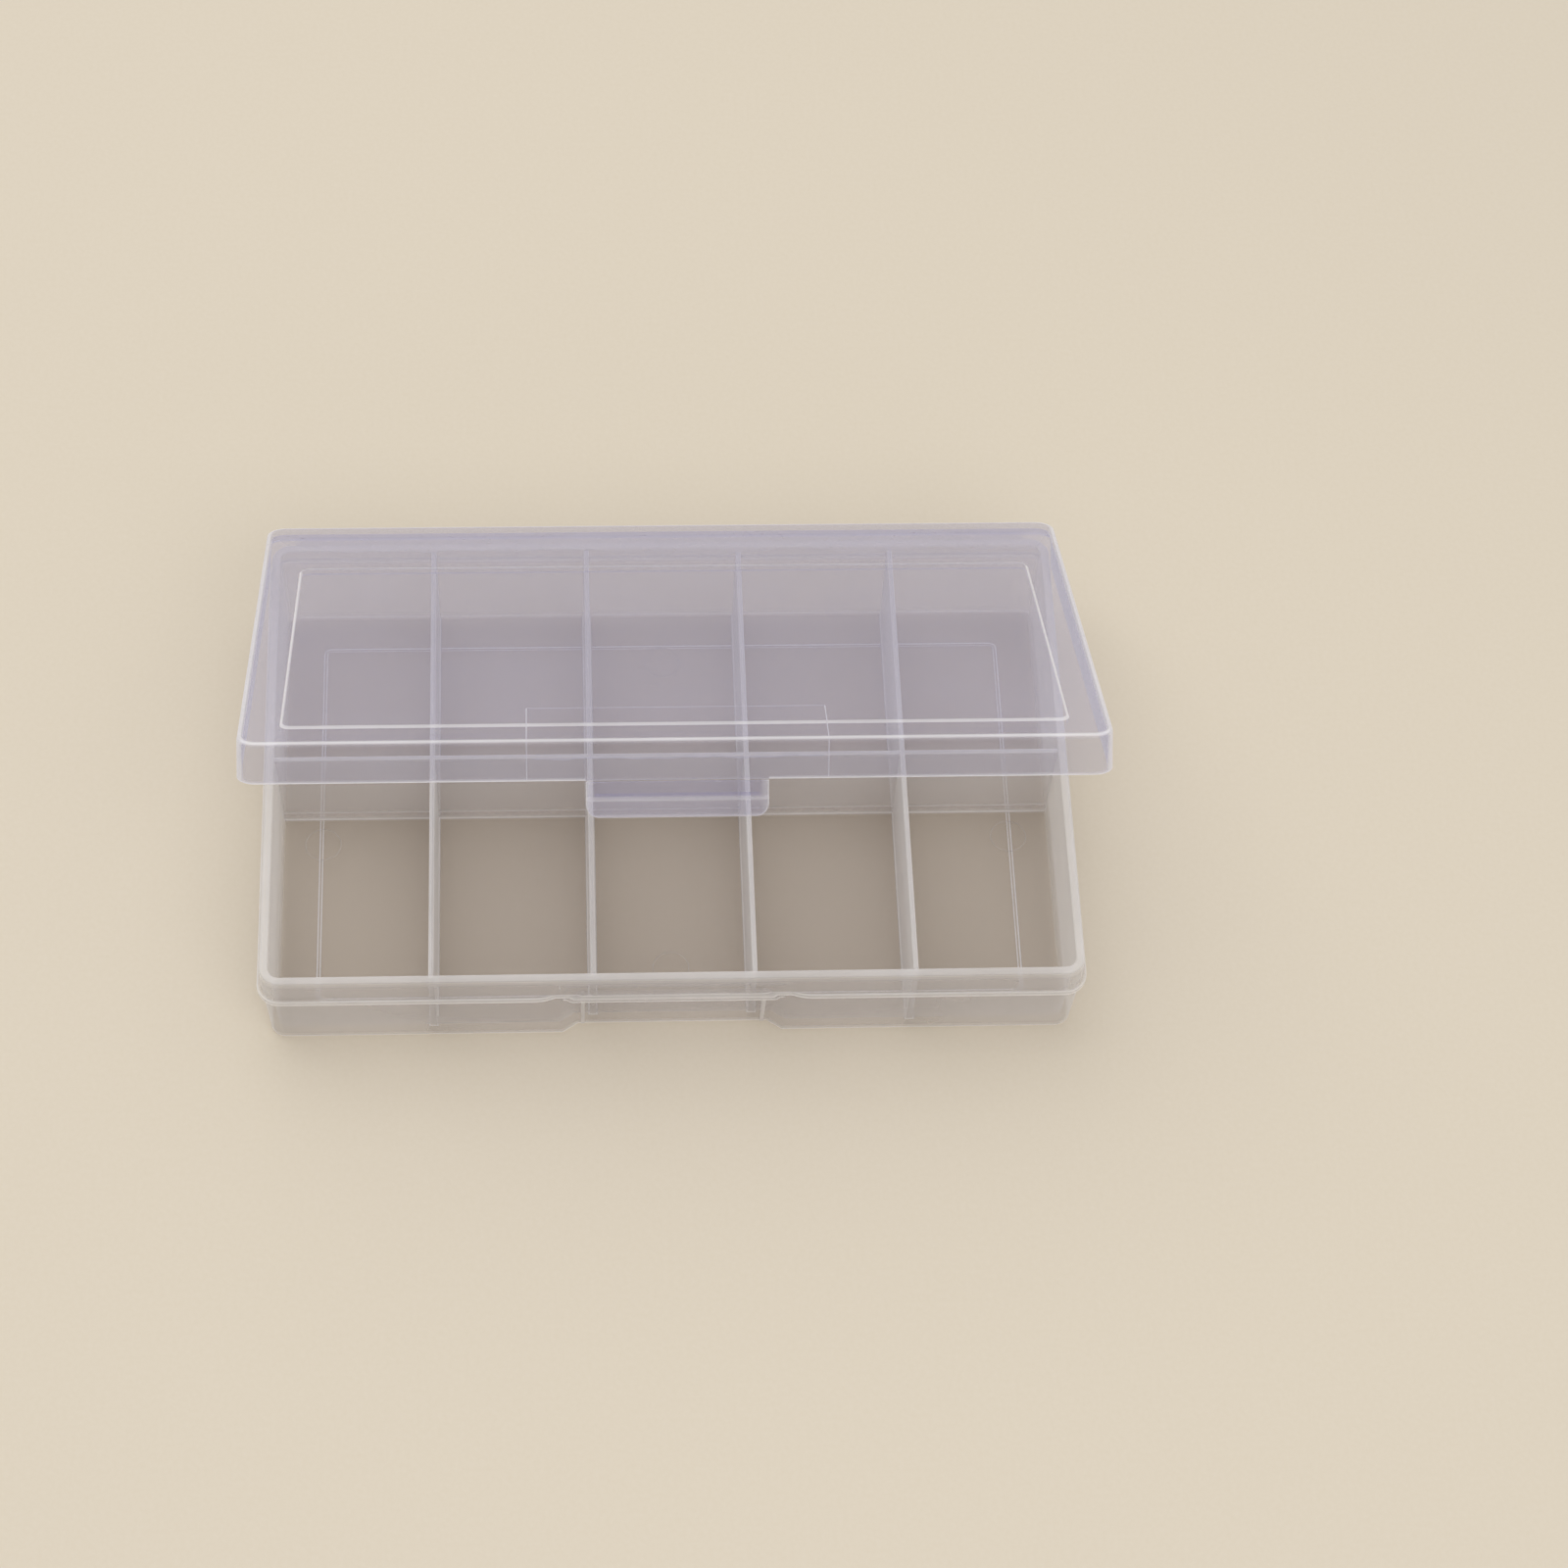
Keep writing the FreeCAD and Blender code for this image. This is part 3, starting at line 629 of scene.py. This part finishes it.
for x in np.linspace(-29.6, 30.2, 60):
    z = seam_z + 0.16 * math.sin(x * 0.31) + 0.1 * math.sin(x * 0.87)
    inside.append(((x, skirt_face(seam_z) + skirt_thick, z), (1, 0)))
strip(witness_shape, witness_haze, inside, (0, 0, 1), 0.3, 0.24)
witness_shape.transform(open_turn)
witness = finish_mesh("witness_lines", witness_shape)
witness.data.materials.append(lid_plastic)
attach(witness, "lid")

# Latch: a flap that hangs from the front skirt, with a flared lip for the thumb
# and a nib inside that snaps under the catch bar.
latch_out, latch_in, tab_top, tab_low, lip_low = -60.05, -59.15, 20.1, 16.95, 12.5
lip_out, lip_turn = latch_out - 1.05, 3.0
lip_in, lip_middle, tab_middle = lip_out + 1.0, lip_out + 0.5, (latch_out + latch_in) / 2
latch_profile = [
    (latch_out + 0.1, tab_top, 0.12), (latch_out, tab_top - 0.15, 0.12),
    (latch_out, tab_top - 0.5, 0.1), (latch_out, tab_low + 0.4, 0.1),
    (latch_out - 0.1, tab_low + 0.08, 0.2), (lip_out + 0.25, tab_low - 0.25, 0.24),
    (lip_out + 0.06, tab_low - 0.38, 0.28), (lip_out, tab_low - 0.55, 0.24),
    (lip_out, tab_low - 0.85, 0.16), (lip_out, lip_low + 0.9, 0.16),
    (lip_out, lip_low + 0.45, 0.17), (lip_out + 0.12, lip_low + 0.12, 0.26),
    (lip_out + 0.35, lip_low, 0.28), (lip_out + 0.65, lip_low, 0.28),
    (lip_out + 0.88, lip_low + 0.12, 0.26), (lip_in, lip_low + 0.45, 0.17),
    (lip_in, lip_low + 0.9, 0.16), (lip_in, tab_low - 0.95, 0.16),
    (latch_in, tab_low - 0.5, 0.14), (latch_in, tab_low, 0.1),
    (latch_in, tab_top - 0.5, 0.1), (latch_in, tab_top - 0.15, 0.12),
    (latch_in - 0.1, tab_top, 0.12)]
# The haze rising towards both ends of the flap, and along the lip's top and foot, paints their highlights.
end_stops = np.concatenate([np.linspace(16.2, 18.0, 7), [18.25, 18.45, 18.6, 18.72, latch_half]])
end_haze = [0.0, 0.2, 0.24, 0.4]
latch_stops = np.concatenate([-end_stops[::-1], np.linspace(-14.0, 14.0, 9), end_stops])
latch_shape = bmesh.new()
latch_haze = latch_shape.verts.layers.float.new("haze")
latch_rows = []
for x in latch_stops:
    past = max(0.0, abs(x) - (latch_half - lip_turn))
    lift = lip_turn - math.sqrt(max(0.0, lip_turn ** 2 - past ** 2))
    pinch = max(0.0, abs(x) - 18.6) / 0.2 * 0.3
    least_haze = np.interp(abs(x), [16.2, 17.6, 18.5, latch_half], end_haze)
    latch_rows.append([])
    for y, z, value in latch_profile:
        if z < tab_low - 0.2:
            z = max(z, lip_low + lift + (z - lip_low) * 0.25)
            y += (lip_middle - y) * pinch
        else:
            y += (tab_middle - y) * pinch
        latch_rows[-1].append(latch_shape.verts.new(Vector((x, y, z)) * mm))
        latch_rows[-1][-1][latch_haze] = max(value, least_haze)
for low, high in zip(latch_rows, latch_rows[1:]):
    for i in range(len(latch_profile)):
        j = (i + 1) % len(latch_profile)
        latch_shape.faces.new((low[i], high[i], high[j], low[j]))
latch_shape.faces.new(latch_rows[0])
latch_shape.faces.new(latch_rows[-1])
latch_shape.transform(open_turn)
latch = finish_mesh("latch_flap", latch_shape)
# The latch's lavender body colour, like the lid's, is partly the plastic's own tint and partly a painted
# reflection of blue sky.
latch_plastic = polypropylene("natural_polypropylene_latch", "#D5D3F0", "#F7F6FA", "#F4F4F8", 0.13, 0.28)
latch.data.materials.append(latch_plastic)
nib = frame["nodes"]["latch_hook"]
nib.data.materials.clear()
nib.data.materials.append(latch_plastic)
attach(latch, "latch")
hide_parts("latch_tab", "latch_grip_lip")

# Floor and light: a plain pale table, a broad soft lamp above and behind, one
# almost as strong in front, and an even pale room.
table_half = 6
table_corners = [(-table_half, -table_half, 0), (table_half, -table_half, 0),
                 (table_half, table_half, 0), (-table_half, table_half, 0)]
table_mesh = bpy.data.meshes.new("table")
table_mesh.from_pydata(table_corners, [], [(0, 1, 2, 3)])
table = bpy.data.objects.new("table", table_mesh)
bpy.context.collection.objects.link(table)
table.location.z = -0.05 * mm
paper = bpy.data.materials.new("matt_paper")
paper.use_nodes = True
fibre = add_node(paper.node_tree, "ShaderNodeTexNoise", Scale=900.0, Detail=2.0,
                 Vector=add_node(paper.node_tree, "ShaderNodeTexCoord").outputs["Object"])
shade = add_node(paper.node_tree, "ShaderNodeMix", {"data_type": "RGBA"}, Factor=fibre.outputs["Fac"],
                 i6=srgb("#CFC4B1"), i7=srgb("#D3C9B8"))
paper_shader = paper.node_tree.nodes["Principled BSDF"]
paper.node_tree.links.new(shade.outputs[2], paper_shader.inputs["Base Color"])
paper_shader.inputs["Roughness"].default_value = 0.9
table_mesh.materials.append(paper)

box_middle = Vector((0, 0, 0.02))
lamps = (("key", Vector((-0.3, 0.45, 1.3)), 1.3, 9.0), ("fill", Vector((0.35, -1.1, 1.1)), 1.2, 8.2))
for name, place, size, power in lamps:
    lamp = bpy.data.lights.new(name, "AREA")
    lamp.size = size
    lamp.energy = power
    holder = bpy.data.objects.new(name, lamp)
    bpy.context.collection.objects.link(holder)
    holder.location = place
    holder.rotation_euler = (box_middle - place).to_track_quat("-Z", "Y").to_euler()
world = bpy.data.worlds.new("soft_room")
bpy.context.scene.world = world
world.use_nodes = True
world.node_tree.nodes["Background"].inputs["Color"].default_value = srgb("#F6F5F4")
world.node_tree.nodes["Background"].inputs["Strength"].default_value = 0.68

# Camera: where the photograph was taken from, high in front of the box, with a
# long lens.
tilt, swing, roll = math.radians(56.841), math.radians(-5.561), math.radians(-3.986)
lens_at = Vector((-24.383, -520.922, 814.260)) * mm
sensor_width, focal_pixels, picture_pixels = 36.0, 4331.0, 1600.0
forward = Vector((0, math.cos(tilt), -math.sin(tilt)))
right = Vector((1, 0, 0))
down = forward.cross(right)
turn = Matrix.Rotation(swing, 3, "Z")
forward, right, down = turn @ forward, turn @ right, turn @ down
image_right = math.cos(roll) * right + math.sin(roll) * down
image_down = -math.sin(roll) * right + math.cos(roll) * down
camera_data = bpy.data.cameras.new("camera")
camera_data.sensor_width = sensor_width
camera_data.lens = focal_pixels * sensor_width / picture_pixels
camera_data.clip_start = 0.05
camera = bpy.data.objects.new("camera", camera_data)
bpy.context.collection.objects.link(camera)
camera.matrix_world = (Matrix.Translation(lens_at)
                       @ Matrix((image_right, -image_down, -forward)).transposed().to_4x4())
scene = bpy.context.scene
scene.camera = camera
scene.view_settings.view_transform = "Standard"
scene.cycles.transparent_max_bounces = 48
scene.cycles.max_bounces = 12
scene.cycles.diffuse_bounces = 6
